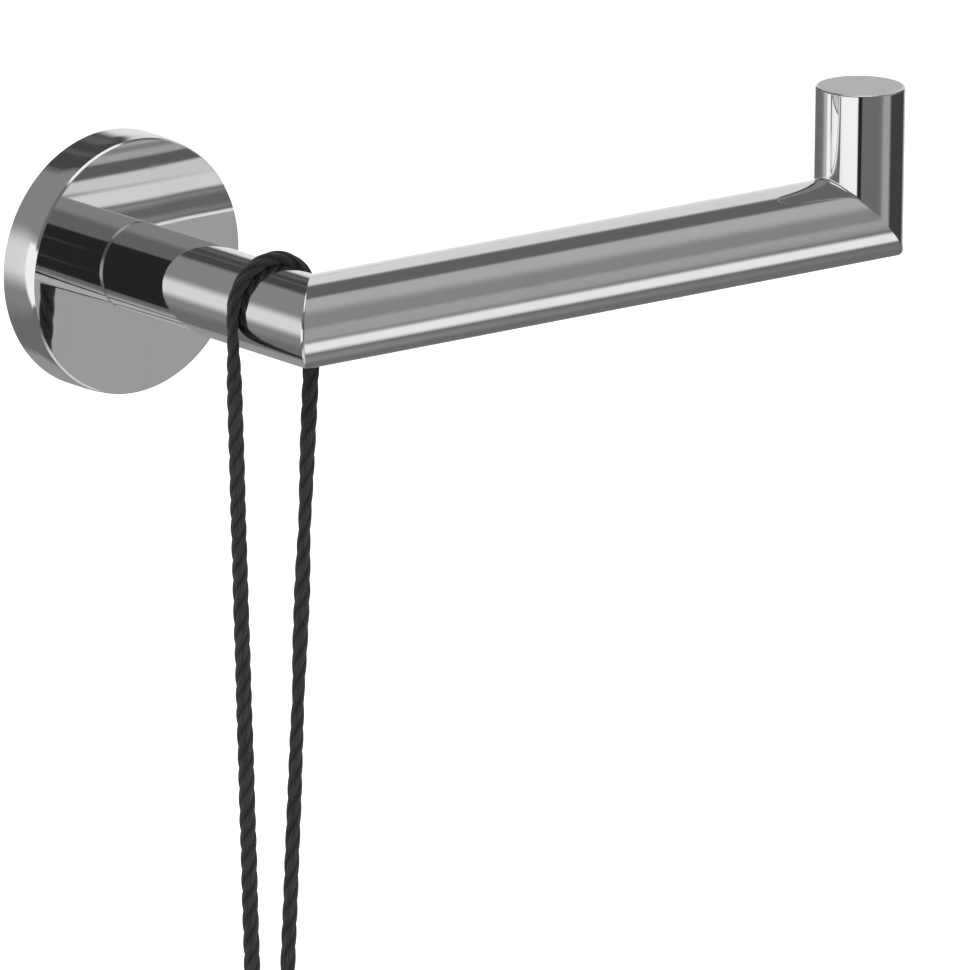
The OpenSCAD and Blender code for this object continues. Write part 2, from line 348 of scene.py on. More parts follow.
# How thick each side of the loop is drawn by its load, as a share, by height
WORN_HEIGHTS = np.array([-209, -100, -86, -79, -70, -58, -51, -46, -40, -30, -14, 0]) * MM
WORN_LEFT = np.array([1, 1, 0.99, 0.98, 0.97, 0.97, 0.96, 0.96, 0.96, 0.96, 0.95, 0.95])
WORN_RIGHT = np.array([1, 0.9, 0.84, 0.76, 0.94, 1, 0.9, 0.77, 0.84, 0.96, 1.02, 0.96])
# The side that bears on the post starts at this share of the half thickness inwards and
# bears fully after the second share more. Above CLEAR_ABOVE a least gap is kept
BEARS_FROM, BEARS_OVER = 0.25, 0.35
CLEAR_ABOVE, LEAST_GAP = -6 * MM, 0.02 * MM
# A laid strand is a circle of this radius, this far from the middle of the cord, and has
# this many points in the cord's section
STRAND_R = 0.56 * CORD_D / 2
STRAND_OUT = CORD_D / 2 - STRAND_R
LOBE_POINTS = 14
# Turns of the lay at the loop's start, and those that its bend over the post adds
LOOP_TURN, BEND_TURN = -0.037, 0.031
# The lay's waver as sines: size in turns, length of a radian, and start in radians
WAVERS = [(0.014, 5.3 * MM, 0), (0.008, 2.1 * MM, 1)]


def even(points, step):
    """The same line with points about step apart."""
    gaps = np.linalg.norm(np.diff(points, axis=0), axis=1)
    along = np.concatenate([[0], np.cumsum(gaps)])
    at = np.linspace(0, along[-1], math.ceil(along[-1] / step) + 1)
    return np.stack([np.interp(at, along, points[:, k]) for k in range(3)], axis=1), at


def eased(points, step, window):
    """The line with its kinks rounded: each point becomes the mean of the stretch of that
    length round it, and the ends stay where they are."""
    line, _ = even(points, step)
    half = max(1, round(window / step / 2))
    before = line[0] - (line[1:half + 1] - line[0])[::-1]
    after = line[-1] - (line[-half - 1:-1] - line[-1])[::-1]
    padded = np.concatenate([before, line, after])
    kernel = np.ones(2 * half + 1) / (2 * half + 1)
    smooth = np.stack([np.convolve(padded[:, k], kernel, "valid") for k in range(3)], axis=1)
    return even(smooth, step)


def carried(line):
    """A direction square to the line at each point, turned as little as possible from one
    point to the next, and the third direction that makes a right-handed set."""
    way = np.gradient(line, axis=0)
    way /= np.linalg.norm(way, axis=1, keepdims=True)
    across = np.empty_like(way)
    across[0] = np.cross(way[0], Y if abs(way[0] @ Y) < 0.9 else X)
    for i in range(1, len(way)):
        across[i] = across[i - 1] - (across[i - 1] @ way[i]) * way[i]
        across[i] /= np.linalg.norm(across[i])
    across[0] /= np.linalg.norm(across[0])
    return way, across, np.cross(way, across)


def laid_cord(name, line, at, turns=None, melt=None, size=None, press=None):
    """A cord of four strands twisted to the right. Its section is the outline of four
    circles: in the quarter turn round a strand, at angle b from that strand's middle, the
    radius is STRAND_OUT cos b + sqrt(STRAND_R^2 - (STRAND_OUT sin b)^2). turns has the
    number of turns of the section at each point of the line. melt from 0 to 1 rounds the
    section off, size scales it, and press changes the finished grid. The UV map has strand
    number plus share across it, and millimetres along the cord."""
    _, across, other = carried(line)
    around = STRANDS * LOBE_POINTS
    share = np.arange(LOBE_POINTS) / LOBE_POINTS
    bulge = (share - 0.5) * 2 * math.pi / STRANDS
    reach = STRAND_OUT * np.cos(bulge) + np.sqrt(STRAND_R**2 - (STRAND_OUT * np.sin(bulge)) ** 2)
    reach = np.tile(reach, STRANDS)
    angle = (np.arange(around) / around) * 2 * math.pi
    turns = at / LAY_LEFT if turns is None else turns
    melt = np.zeros(len(line)) if melt is None else melt
    size = np.ones(len(line)) if size is None else size
    radius = (reach[None] * (1 - melt[:, None]) + CORD_D / 2 * melt[:, None]) * size[:, None]
    spin = 2 * math.pi * turns[:, None] + angle[None]
    grid = line[:, None] + radius[:, :, None] * (
        np.cos(spin)[:, :, None] * across[:, None] + np.sin(spin)[:, :, None] * other[:, None]
    )
    if press:
        grid = press(grid, line)
    ends = [np.repeat(line[k][None, None], grid.shape[1], axis=1) for k in (0, -1)]
    grid = np.concatenate([ends[0], grid, ends[1]])
    length = np.concatenate([at[:1], at, at[-1:]]) / MM
    u = np.arange(around) / LOBE_POINTS
    step = 1 / LOBE_POINTS
    rows = len(grid) - 1
    uv = np.empty((rows, around, 4, 2))
    uv[..., 0] = u[None, :, None] + np.array([0, step, step, 0])
    uv[..., 1] = np.stack([length[:-1], length[:-1], length[1:], length[1:]], axis=1)[:, None]
    return skin(name, grid, uv=uv)


def pressed_thickness(x, z):
    """Thickness of the flattened cord on the post: it grows from the sides to the top by the
    sine of the angle round the post."""
    up = np.maximum(z, 0) / np.maximum(np.hypot(x, np.maximum(z, 0)), 1e-9)
    return PRESSED_SIDE + (PRESSED_TOP - PRESSED_SIDE) * up


def loop_line():
    """The route of the loop: up the left strand, straight into an arc of WRAP_R round the
    post, and down the right strand. Then the pressing draws it in: on the post, to half
    the flattened thickness from it, and below, by a share that falls evenly to nothing
    at the knot."""
    turn = np.linspace(math.pi + CORD_LEAN, -CORD_LEAN, 61)
    arc = np.stack([np.cos(turn), np.sin(turn)], axis=1) * WRAP_R
    stub_x = WRAP_R * math.cos(CORD_LEAN) - ARCH_STUB * math.sin(CORD_LEAN)
    stub_z = -WRAP_R * math.sin(CORD_LEAN) - ARCH_STUB * math.cos(CORD_LEAN)
    left, right = STRAND * [-1, 1], STRAND
    flat = np.concatenate([left[::-1], [[-stub_x, stub_z]], arc, [[stub_x, stub_z]], right])
    x, z = flat.T
    drawn_in = WRAP_R - TUBE_R - pressed_thickness(x, z) / 2
    drawn_in = drawn_in * np.where(z < 0, 1 - z / STRAND[-1, 1], 1)
    out = np.stack([x, np.maximum(z, 0)], axis=1)
    out /= np.linalg.norm(out, axis=1, keepdims=True)
    x, z = (flat - drawn_in[:, None] * out).T
    return np.stack([x, CORD_Y + np.interp(z, SLID_HEIGHTS, SLID), z], axis=1)


def press_on_post(grid, line):
    """Flattens the cord against the post. Seen from the post's axis, each section shrinks
    to the pressed thickness outwards and to PRESSED_WIDE along the post, the side that
    bears on the post fills out to meet it, and no point stays inside the post. Between
    FLAT_ABOVE and ROUND_BELOW the cord gets round again by a smooth step."""
    x, z = line[:, 0], line[:, 2]
    flat = np.clip((z - ROUND_BELOW) / (FLAT_ABOVE - ROUND_BELOW), 0, 1)
    flat = (flat * flat * (3 - 2 * flat))[:, None]
    out = np.stack([x, np.zeros_like(x), np.maximum(z, 0)], axis=1)
    out /= np.linalg.norm(out, axis=1, keepdims=True)
    off = grid - line[:, None]
    outwards = (off * out[:, None]).sum(2)
    thin = (pressed_thickness(x, z) / CORD_D)[:, None]
    narrow = PRESSED_WIDE / CORD_D
    off += ((thin - 1) * flat * outwards)[:, :, None] * out[:, None]
    off[..., 1] *= 1 + (narrow - 1) * flat
    grid = line[:, None] + off
    gap = np.hypot(grid[..., 0], grid[..., 2]) - TUBE_R
    inwards = -outwards / (CORD_D / 2)
    bears = np.clip((inwards - BEARS_FROM) / BEARS_OVER, 0, 1) * (z > 0)[:, None]
    wanted = np.maximum(gap * (1 - bears), LEAST_GAP)
    push = np.where(z[:, None] > CLEAR_ABOVE, wanted - gap, 0)
    away = np.stack([grid[..., 0], np.zeros_like(gap), grid[..., 2]], axis=2)
    away /= np.linalg.norm(away, axis=2, keepdims=True)
    return grid + push[..., None] * away


def loop_turns(at, x):
    """Turns of the lay along the loop: its rate changes from the left strand's to the right
    strand's on top of the post, and wavers a little by the sum of WAVERS. The bend over the
    post adds BEND_TURN, shared out by the distance across."""
    rate = np.where(x[:-1] < 0, 1 / LAY_LEFT, 1 / LAY_RIGHT)
    turns = LOOP_TURN + np.concatenate([[0], np.cumsum(rate * np.diff(at))])
    turns += BEND_TURN * np.clip(0.5 + x / WRAP_R, 0, 1)
    return turns + sum(size * np.sin(at / radian + start) for size, radian, start in WAVERS)


def worn_size(line):
    """Share of the full thickness along the loop, from the tables of its two sides."""
    sides = [np.interp(line[:, 2], WORN_HEIGHTS, table) for table in (WORN_LEFT, WORN_RIGHT)]
    share = np.clip(0.5 + line[:, 0] / CORD_D, 0, 1)
    return sides[0] * (1 - share) + sides[1] * share


loop, loop_at = eased(loop_line(), step=0.45 * MM, window=3 * MM)
cord_loop = laid_cord(
    "cord_loop", loop, loop_at, loop_turns(loop_at, loop[:, 0]),
    size=worn_size(loop), press=press_on_post,
)
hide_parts("cord_arch", "cord_leg_left", "cord_leg_right")
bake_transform(cord_loop)


def knot_line(side):
    """One of the two cords in the knot, in turns round the knot's axis: it comes down beside
    the axis, spirals out to the side of the barrel, goes once round on a steady slope and
    spirals back in to leave as a tail. The other cord is the same half a turn on."""
    top, base = high("cord_knot")[2], low("cord_knot")[2]
    out = high("cord_knot")[0] - CORD_D / 2
    turns = np.radians([0, 12, 30, 60, 90, 180, 270, 360, 450, 480, 510, 528, 540])
    radius = np.array([TAIL_X, 1.9 * MM, 2.5 * MM, 3.9 * MM] + [out] * 5
                      + [3.9 * MM, 2.5 * MM, 1.9 * MM, TAIL_X])
    rise = CORD_D / 2
    slope = np.linspace(top - rise, base + rise, 5)
    height = np.concatenate([
        [top + 0.3 * MM, top - 0.8 * MM, top - rise * 0.85, top - rise * 0.95], slope,
        [base + rise * 0.95, base + rise * 0.85, base + 0.8 * MM, base - 0.3 * MM],
    ])
    fine = np.linspace(0, turns[-1], 400)
    r, h = np.interp(fine, turns, radius), np.interp(fine, turns, height)
    return np.stack([
        side * r * np.cos(fine), CORD_Y + side * r * np.sin(fine), h
    ], axis=1)


def joined(name, pieces):
    """One mesh object out of several, with their UV maps."""
    bpy.ops.object.select_all(action="DESELECT")
    for piece in pieces:
        piece.select_set(True)
    bpy.context.view_layer.objects.active = pieces[0]
    bpy.ops.object.join()
    pieces[0].select_set(False)
    pieces[0].name = pieces[0].data.name = name
    return pieces[0]


def knot():
    """Both cords of the knot, as laid cords along knot_line."""
    turns = []
    for side in (-1, 1):
        line, at = eased(knot_line(side), step=0.4 * MM, window=2 * MM)
        turns.append(laid_cord("turn", line, at))
    return joined("knot_turns", turns)


def tails():
    """The two ends below the knot, cut and sealed by heat. By share of their length, the lay
    runs together from melt_from on, into a bead that swells a little and whose radius
    follows sqrt(1 - d^fullness) over the dome at the tip."""
    melt_from, melt_over, dome_from, swell, fullness = 0.1, 0.5, 0.55, 0.02, 2.2
    top, base = high("cord_tails")[2], low("cord_tails")[2]
    ends = []
    for side in (-1, 1):
        line = np.array([[side * TAIL_X, CORD_Y, top], [side * TAIL_X, CORD_Y, base]])
        line, at = even(line, 0.1 * MM)
        share = at / at[-1]
        melt = np.clip((share - melt_from) / melt_over, 0, 1)
        dome = np.clip((share - dome_from) / (1 - dome_from), 0, 1)
        size = 1 + swell * np.sin(share * math.pi)
        size *= np.sqrt(np.maximum(1 - dome**fullness, 0))
        ends.append(laid_cord("tail", line, at, melt=melt * melt * (3 - 2 * melt), size=size))
    return joined("sealed_tails", ends)


knot_turns = knot()
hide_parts("cord_knot")
sealed_tails = tails()
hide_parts("cord_tails")
for piece in (knot_turns, sealed_tails):
    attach(piece, "cord_strands")


# Chrome pieces

def rosette():
    """Cup with a face domed by polishing: its height falls with the square of the distance
    from the middle. Buffing has also drawn in the front of the rim, by the square of the
    height above draw_from. A steep chamfer leads from the rim to the face."""
    dome, draw, draw_from = 0.16 * MM, 0.26 * MM, 5 * MM
    chamfer_h, chamfer_r = 0.66 * MM, 0.3 * MM
    inner, floor = ROSETTE_R - ROSETTE_RIM, ROSETTE_H - ROSETTE_FACE
    share = np.linspace(0, 1, 14)
    rim = np.stack([
        ROSETTE_R - draw * share**2,
        draw_from + share * (ROSETTE_H - chamfer_h - draw_from),
    ], axis=1)
    edge_r = ROSETTE_R - draw - chamfer_r
    face_r = np.linspace(edge_r, SPIGOT_HOLE_R, 18)
    face = np.stack([face_r, ROSETTE_H - dome * (face_r / edge_r) ** 2], axis=1)
    corners = [(inner, 0), (ROSETTE_R, 0), *rim, *face, (SPIGOT_HOLE_R, floor), (inner, floor)]
    rounding = [0.15 * MM, 0.2 * MM, *[SMOOTH] * 13, 0.12 * MM, 0.1 * MM, *[SMOOTH] * 16,
                0.1 * MM, 0, 0.4 * MM]
    line = outline(corners, rounding, steps=4)
    cup = turned("rosette_cup", line, np.zeros(3), -Y, X, around=320)
    drill(cup, set_screw_drill())
    shade_turned(cup, line, -Y)
    return cup


def set_screw_drill():
    """The tool that makes the threaded hole in the rim and breaks its edge: a cylinder that
    widens by a cone at the rim's outside. It starts outside the rim and ends inside it."""
    x, y, _ = middle("grub_screw")
    hole, mouth = GRUB_HOLE_R, GRUB_HOLE_R + 0.45 * MM
    rim = -ROSETTE_R
    base, wide, narrow, end = rim - 1 * MM, rim - 0.3 * MM, rim + 0.22 * MM, rim + 5 * MM
    corners = [(0, base), (mouth, base), (mouth, wide), (hole, narrow), (hole, end), (0, end)]
    line = outline(corners, [0] * len(corners), closed=False)
    return turned("drill", line, x * X + y * Y, Z, X, closed=False, around=64)


def drill(piece, tool):
    """Takes the tool's space out of the piece for good."""
    cut = piece.modifiers.new("drill", "BOOLEAN")
    cut.object, cut.solver = tool, "EXACT"
    bpy.context.view_layer.update()
    mesh = bpy.data.meshes.new_from_object(
        piece.evaluated_get(bpy.context.evaluated_depsgraph_get()))
    piece.modifiers.clear()
    piece.data = mesh
    mesh.name = piece.name
    bpy.data.objects.remove(tool)


def shade_turned(piece, line, axis):
    """Gives a drilled surface of revolution its exact normals back: each face takes the part
    of the line nearest to its middle, and each corner the direction at its own place along
    that part. The walls of a hole lie off the line and keep their own."""
    mesh = piece.data
    points, coming, going = line
    ends = np.roll(points, -1, axis=0)
    area = (points[:, 0] * ends[:, 1] - ends[:, 0] * points[:, 1]).sum()
    hand = -1 if area > 0 else 1
    first, last = side_of(going) * hand, side_of(np.roll(coming, -1, axis=0)) * hand

    def read(values, name, width, kind=float):
        out = np.empty(len(values) * width, kind)
        values.foreach_get(name, out)
        return out.reshape(-1, width) if width > 1 else out

    corner = read(mesh.vertices, "co", 3)[read(mesh.loops, "vertex_index", 1, np.int32)]
    face = np.repeat(np.arange(len(mesh.polygons)), read(mesh.polygons, "loop_total", 1, np.int32))

    def section(places):
        height = places @ axis
        flat = places - height[:, None] * axis
        radius = np.linalg.norm(flat, axis=1)
        return np.stack([radius, height], axis=1), flat / np.maximum(radius, 1e-9)[:, None]

    centre, _ = section(read(mesh.polygons, "center", 3))
    side = ends - points
    length = np.maximum((side**2).sum(1), 1e-18)
    share = np.clip(((centre[:, None] - points) * side).sum(2) / length, 0, 1)
    off = np.linalg.norm(centre[:, None] - points - share[:, :, None] * side, axis=2)
    part = off.argmin(1)
    on_line = off.min(1) < 0.015 * MM
    place, out = section(corner)
    k = part[face]
    share = np.clip(((place - points[k]) * side[k]).sum(1) / length[k], 0, 1)[:, None]
    normal = first[k] * (1 - share) + last[k] * share
    normal = normal[:, :1] * out + normal[:, 1:] * axis
    normal = np.where(on_line[face][:, None], normal, read(mesh.polygons, "normal", 3)[face])
    normal /= np.linalg.norm(normal, axis=1, keepdims=True)
    mesh.normals_split_custom_set(normal.tolist())


# How far from a mitre the rings of its rounded corner lie, closer together near it
CUT_STEPS = [CREASE * (k / 8) ** 1.3 for k in range(8, -1, -1)]
# A point in each mitre plane and its normal
ELBOW = (-REACH * Y, (X - Y) / math.sqrt(2))
TURN_UP = (BAR_LENGTH * X - REACH * Y, (X + Z) / math.sqrt(2))


def tube(name, start, end, origin, axis, across, start_cut=None, end_cut=None, foot=()):
    """A tube from start to end along its axis. A cut is the slant (p, q) of that end, with
    rings close to the cut plane, and the mitre that it belongs to."""
    inner = TUBE_R - TUBE_WALL
    near_start = [] if start_cut is None else [start + step for step in CUT_STEPS[::-1]]
    near_end = [] if end_cut is None else [end - step for step in CUT_STEPS]
    first = [*foot] or [(TUBE_R, h) for h in near_start or [start]]
    last = [(TUBE_R, h) for h in near_end or [end]]
    corners = [(inner, start), *first, *last, (inner, end)]
    slants = np.zeros((len(corners), 2))
    if start_cut is not None:
        slants[:1 + len(first)] = start_cut[0]
    if end_cut is not None:
        slants[-1 - len(last):] = end_cut[0]
    mitres = [(cut[1][0], cut[1][1] * cut[2]) for cut in (start_cut, end_cut) if cut]
    return turned(
        name, outline(corners, [0] * len(corners)), origin, axis, across,
        around=256, slants=slants, mitres=mitres,
    )


def post():
    """Tube along -Y, from a chamfer on the rosette to the elbow's mitre."""
    foot = [(TUBE_R - CHAMFER_IN, ROSETTE_H), (TUBE_R, ROSETTE_H + CHAMFER_UP)]
    return tube(
        "post_tube", ROSETTE_H, REACH, np.zeros(3), -Y, X,
        end_cut=((-1, 0), ELBOW, 1), foot=foot,
    )


def bar():
    """Tube along +X between its two mitres."""
    return tube(
        "bar_tube", 0, BAR_LENGTH, -REACH * Y, X, Y,
        start_cut=((1, 0), ELBOW, -1), end_cut=((0, -1), TURN_UP, 1),
    )


def upturned_end():
    """Tube along +Z, from its mitre to the cap's seat."""
    return tube(
        "end_tube", 0, TIP_TOP - CAP_DISC, BAR_LENGTH * X - REACH * Y, Z, X,
        start_cut=((-1, 0), TURN_UP, -1),
    )


def cap():
    """A disc on a plug, turned about the stub's axis: straight lines with an arc at the
    plug's end and one at the disc's edge."""
    plug_r = TUBE_R - TUBE_WALL - 0.05 * MM
    seat = TIP_TOP - CAP_DISC
    base = seat - CAP_PLUG
    corners = [(0, base), (plug_r, base), (plug_r, seat), (TUBE_R, seat), (TUBE_R, TIP_TOP),
               (0, TIP_TOP)]
    line = outline(corners, [0, 0.3 * MM, 0, 0, CAP_BEVEL, 0], closed=False)
    return turned("end_cap", line, BAR_LENGTH * X - REACH * Y, Z, X, closed=False, around=256)


def foot_cup():
    """An upturned cup with a hole in its floor, turned about the cord's axis: straight lines
    with an arc at each corner."""
    top, skirt, hole = 2.5 * MM, 2 * MM, 6.05 * MM
    line = outline(
        [(FOOT_R - skirt, FOOT_RIM), (FOOT_R, FOOT_RIM), (FOOT_R, FOOT_TOP), (hole, FOOT_TOP),
         (hole, FOOT_TOP - top), (FOOT_R - skirt, FOOT_TOP - top)],
        [0.3 * MM, 0.6 * MM, 0.6 * MM, 0.1 * MM, 0.1 * MM, 0.5 * MM],
    )
    return turned("foot_cup", line, CORD_Y * Y, Z, X, around=320)


def bush():
    """A sleeve with a flange at each end, turned about the cord's axis: straight lines with
    an arc at each outer corner."""
    bore, body, flange, lip = 4.5 * MM, 6 * MM, 8 * MM, 1.2 * MM
    base, top = low("foot_bush")[2], high("foot_bush")[2]
    line = outline(
        [(bore, base), (flange, base), (flange, base + lip), (body, base + lip),
         (body, top - lip), (flange, top - lip), (flange, top), (bore, top)],
        [0.3 * MM, 0.4 * MM, 0.4 * MM, 0, 0, 0.4 * MM, 0.4 * MM, 0.3 * MM],
    )
    return turned("rubber_bush", line, CORD_Y * Y, Z, X, around=128)


CHROME_PIECES = {
    "rosette": rosette, "arm_post": post, "arm_bar": bar, "end_tip": upturned_end,
    "tip_cap": cap, "foot": foot_cup,
}
chromed = {node: make() for node, make in CHROME_PIECES.items()}
for node, piece in chromed.items():
    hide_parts(node)
    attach(piece, "foot" if node == "foot" else "arm")

rubber_bush = bush()
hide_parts("foot_bush")
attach(rubber_bush, "foot")


# Materials

POLISHED, SMEARED = (0.87, 0.875, 0.88), (0.83, 0.83, 0.825)
# The post's ground chamfer: its roughness, and the depths between which it begins. Its colour there
# is also painted darker, as shade in the corner where the post meets the rosette
CHAMFER_ROUGH = 0.33
CHAMFER_DEPTHS = (-ROSETTE_H - CHAMFER_UP + 0.04 * MM, -ROSETTE_H - CHAMFER_UP - 0.02 * MM)
# Yarns in a strand, and the share of the lay by which they turn back in it
YARNS, TURNED_BACK = 6, 0.9
# Painted shade on the cord: its tone in the grooves between its strands, and on the arch where it
# lies pressed over the post
GROOVE_PAINTED_SHADE, ARCH_PAINTED_SHADE = 0.3, 0.6
# Below this height the cord's ends are sealed
SEAL_TOP = low("cord_tails")[2] + 1.4 * MM


def put(tree, kind, inputs=None, **settings):
    """Adds a node. An input is a plain value, or another node's output to link."""
    node = tree.nodes.new(kind)
    for key, value in settings.items():
        setattr(node, key, value)
    for key, value in (inputs or {}).items():
        if isinstance(value, bpy.types.NodeSocket):
            tree.links.new(value, node.inputs[key])
        else:
            node.inputs[key].default_value = value
    return node


def maths(tree, operation, *values):
    return put(tree, "ShaderNodeMath", dict(enumerate(values)), operation=operation).outputs[0]


def total(tree, first, *others):
    for value in others:
        first = maths(tree, "ADD", first, value)
    return first


def product(tree, first, *others):
    for value in others:
        first = maths(tree, "MULTIPLY", first, value)
    return first


def remap(tree, value, low_in, high_in, low_out, high_out):
    """A smooth step from one output to the other between the two inputs."""
    return put(tree, "ShaderNodeMapRange", {
        "Value": value, "From Min": low_in, "From Max": high_in,
        "To Min": low_out, "To Max": high_out,
    }, interpolation_type="SMOOTHSTEP").outputs[0]


def blend_colours(tree, factor, dark, light):
    return put(tree, "ShaderNodeMix", {
        "Factor": factor, 6: (*dark, 1), 7: (*light, 1),
    }, data_type="RGBA").outputs[2]


def noise(tree, place, scale, detail, dimensions="3D", **inputs):
    """Noise over a place, which is one number where dimensions is 1D."""
    key = "W" if dimensions == "1D" else "Vector"
    return put(tree, "ShaderNodeTexNoise", {
        key: place, "Scale": scale, "Detail": detail, **inputs,
    }, noise_dimensions=dimensions).outputs[0]


def split(tree, vector):
    return put(tree, "ShaderNodeSeparateXYZ", {0: vector}).outputs


def distance_from(tree, place, square):
    """Distance from an axis. square is 1 along the two directions square to it."""
    flat = put(tree, "ShaderNodeVectorMath", {0: place, 1: square}, operation="MULTIPLY").outputs[0]
    return put(tree, "ShaderNodeVectorMath", {0: flat}, operation="LENGTH").outputs["Value"]


def object_place(tree):
    return put(tree, "ShaderNodeTexCoord").outputs["Object"]


def new_group(name, inputs, outputs):
    tree = bpy.data.node_groups.new(name, "ShaderNodeTree")
    for way, sockets in (("INPUT", inputs), ("OUTPUT", outputs)):
        for label, kind in sockets.items():
            tree.interface.new_socket(label, in_out=way, socket_type="NodeSocket" + kind)
    return tree, put(tree, "NodeGroupInput").outputs


def handling_group():
    """Wiped and handled metal: broad smears and fine specks, from 0 to 1, and a slow wave of
    the polished surface."""
    tree, given = new_group(
        "handling", {"Place": "Vector", "Size": "Float"}, {"Smear": "Float", "Wave": "Float"},
    )
    place, scale = given["Place"], maths(tree, "DIVIDE", 1.0, given["Size"])
    broad = noise(tree, place, scale, 3.0, Distortion=1.5)
    fine = noise(tree, place, product(tree, scale, 14.0), 5.0)
    put(tree, "NodeGroupOutput", {
        "Smear": product(
            tree, remap(tree, broad, 0.42, 0.72, 0, 1), remap(tree, fine, 0.3, 0.8, 0.4, 1)),
        "Wave": noise(tree, place, product(tree, scale, 1.6), 0.0),
    })
    return tree


def turning_group():
    """Marks of a lathe round the Y axis: height and tone change only with the distance from
    the axis and the depth, in bands about Pitch wide."""
    tree, given = new_group(
        "turning", {"Place": "Vector", "Pitch": "Float"}, {"Height": "Float", "Tone": "Float"},
    )
    radius = distance_from(tree, given["Place"], (1, 0, 1))
    depth = split(tree, given["Place"])[1]
    step = maths(tree, "DIVIDE", total(tree, radius, product(tree, depth, 0.7)), given["Pitch"])
    fine = noise(tree, step, 1.0, 3.0, "1D")
    broad = noise(tree, step, 0.08, 1.0, "1D")
    put(tree, "NodeGroupOutput", {
        "Height": fine, "Tone": total(tree, product(tree, fine, 0.5), product(tree, broad, 0.5))})
    return tree


def use(tree, group, **values):
    node = put(tree, "ShaderNodeGroup", values, node_tree=group)
    return node.outputs


def new_material(name, **constants):
    """A material with one shader, whose constant inputs are given by name."""
    material = bpy.data.materials.new(name)
    material.use_nodes = True
    tree = material.node_tree
    tree.nodes.clear()
    shader = put(tree, "ShaderNodeBsdfPrincipled", {
        key.replace("_", " "): value for key, value in constants.items()})
    put(tree, "ShaderNodeOutputMaterial", {"Surface": shader.outputs[0]})
    return material, tree, shader


def feed(tree, shader, **values):
    for key, value in values.items():
        tree.links.new(value, shader.inputs[key.replace("_", " ")])


def bump(tree, height, distance):
    return put(tree, "ShaderNodeBump", {"Height": height, "Distance": distance}).outputs[0]


def dress(pieces, material):
    for piece in pieces:
        piece.data.materials.clear()
        piece.data.materials.append(material)


HANDLING = handling_group()
TURNING = turning_group()


def chrome(name="chrome_plate", chamfer=None):
    """Polished plate: a deep mirror, with faint smears that dull it and a slow wave. chamfer
    gives the two depths between which an end's ground edge turns into the polished side."""
    material, tree, shader = new_material(name, Metallic=1.0)
    place = object_place(tree)
    worn = use(tree, HANDLING, Place=place, Size=0.03)
    colour = blend_colours(tree, worn["Smear"], POLISHED, SMEARED)
    rough = remap(tree, worn["Smear"], 0, 1, 0.022, 0.075)
    if chamfer:
        # The ground chamfer is rougher as a finish, and its colour is painted darker as shade where
        # the post meets the rosette
        ground_and_painted_shade = remap(tree, split(tree, place)[1], *chamfer, 1, 0)
        colour = blend_colours(tree, ground_and_painted_shade, (0.865, 0.87, 0.875), (0.45, 0.452, 0.455))
        rough = total(tree, rough, product(tree, ground_and_painted_shade, CHAMFER_ROUGH))
    feed(
        tree, shader,
        Base_Color=colour, Roughness=rough, Normal=bump(tree, worn["Wave"], 0.00004),
    )
    return material


def turned_chrome():
    """The cap: its disc is plated over the marks of facing, so it mirrors softly, and its
    bevel and side are polished with the tube."""
    material, tree, shader = new_material("faced_chrome", Metallic=1.0)
    centred = put(tree, "ShaderNodeMapping", {
        "Vector": object_place(tree), "Location": tuple(-BAR_LENGTH * X + REACH * Y),
    }).outputs[0]
    swapped = put(tree, "ShaderNodeMapping", {
        "Vector": centred, "Rotation": (math.pi / 2, 0, 0)}).outputs[0]
    marks = use(tree, TURNING, Place=swapped, Pitch=0.00016)
    edge = TUBE_R - CAP_BEVEL
    faced = remap(
        tree, distance_from(tree, centred, (1, 1, 0)), edge - 0.08 * MM, edge + 0.04 * MM, 1, 0)
    satin = remap(tree, marks["Tone"], 0.3, 0.7, 0.30, 0.42)
    feed(
        tree, shader,
        Base_Color=blend_colours(tree, faced, POLISHED, (0.74, 0.742, 0.745)),
        Roughness=total(tree, 0.025, product(tree, faced, satin)),
        Normal=bump(tree, product(tree, marks["Height"], faced), 0.00001),
    )
    return material


def machined(name, dark, light, pitch, rough):
    """Metal straight from the lathe: rings of lighter and darker tone, and handling."""
    material, tree, shader = new_material(name, Metallic=1.0)
    place = object_place(tree)
    marks = use(tree, TURNING, Place=place, Pitch=pitch)
    worn = use(tree, HANDLING, Place=place, Size=0.012)
    tone = total(tree, product(tree, marks["Tone"], 0.75), product(tree, worn["Smear"], 0.25))
    feed(
        tree, shader,
        Base_Color=blend_colours(tree, tone, dark, light),
        Roughness=remap(tree, tone, 0.2, 0.8, *rough),
        Normal=bump(tree, marks["Height"], 0.00003),
    )
    return material


